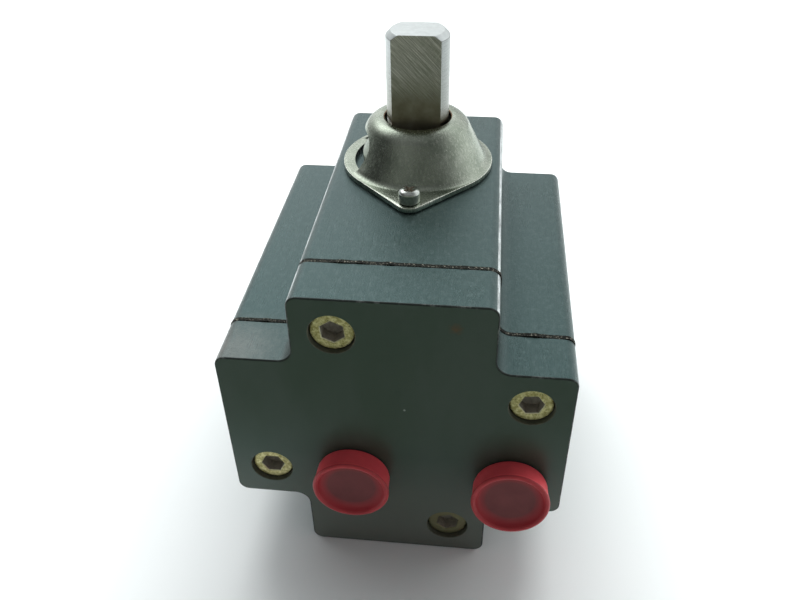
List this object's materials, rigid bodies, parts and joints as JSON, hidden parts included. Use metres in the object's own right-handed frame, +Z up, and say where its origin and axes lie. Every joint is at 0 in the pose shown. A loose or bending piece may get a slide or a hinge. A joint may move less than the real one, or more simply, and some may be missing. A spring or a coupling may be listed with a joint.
{
  "type": "rotary pneumatic actuator",
  "caption": "Rack-and-pinion pneumatic actuator: a cross-shaped block with an air-driven piston inside that turns a flatted output shaft through a conical cover.",
  "frame": {"origin": "on the output shaft's axis, level with the bottom face, where the actuator stands on the valve it turns", "axes": "+Z up along the shaft towards its flatted end, -Y towards the end cap and its air ports, +X to the right when the end cap is seen from the front"},
  "size_m": [0.08, 0.0984, 0.115],
  "materials": {
    "black_anodised": "black anodised, fine linear grain",
    "ground_steel": "ground",
    "satin_stainless": "satin, pressed sheet",
    "yellow_zinc": "yellow zinc plated",
    "red_plastic": "soft moulded",
    "black_rubber": "matt",
    "bare_aluminium": "machined",
    "bearing_plastic": "machined"
  },
  "bodies": {
    "housing": {"body": "black_anodised", "end_cap": "black_anodised", "end_cap_gasket": "black_rubber", "end_cap_screw_top": "yellow_zinc", "end_cap_screw_right": "yellow_zinc", "end_cap_screw_bottom": "yellow_zinc", "end_cap_screw_left": "yellow_zinc", "front_cover_screw": "satin_stainless", "rear_cover_screw": "satin_stainless", "gallery_plug": "ground_steel", "inner_thrust_washer": "bearing_plastic", "outer_thrust_washer": "bearing_plastic", "upper_bearing": "bearing_plastic", "lower_bearing": "bearing_plastic", "upper_shaft_seal": "black_rubber", "lower_shaft_seal": "black_rubber", "lower_retaining_ring": "ground_steel", "shaft_cover": "satin_stainless"},
    "shaft": {"pinion_shaft": "ground_steel", "upper_retaining_ring": "ground_steel", "position_collar": "ground_steel"},
    "piston": {"piston": "bare_aluminium", "piston_seal": "black_rubber", "piston_guide_band": "bearing_plastic", "rack_guide_pad": "bearing_plastic"},
    "left_port_cap": {"left_port_cap": "red_plastic"},
    "right_port_cap": {"right_port_cap": "red_plastic"}
  },
  "joints": [
    {"name": "shaft_turn", "type": "hinge", "parent": "housing", "child": "shaft", "pos_m": [0, 0, 0.04], "axis": [0, 0, 1], "range_deg": [0, 90]},
    {"name": "piston_slide", "type": "slide", "parent": "housing", "child": "piston", "axis": [0, 1, 0], "range_m": [0, 0.0158]},
    {"name": "left_cap_pull", "type": "slide", "parent": "housing", "child": "left_port_cap", "axis": [0, -1, 0], "range_m": [0, 0.02]},
    {"name": "right_cap_pull", "type": "slide", "parent": "housing", "child": "right_port_cap", "axis": [0, -1, 0], "range_m": [0, 0.02]}
  ],
  "couplings": [
    {"joint": "piston_slide", "follows": "shaft_turn", "m_per_rad": 0.01}
  ]
}
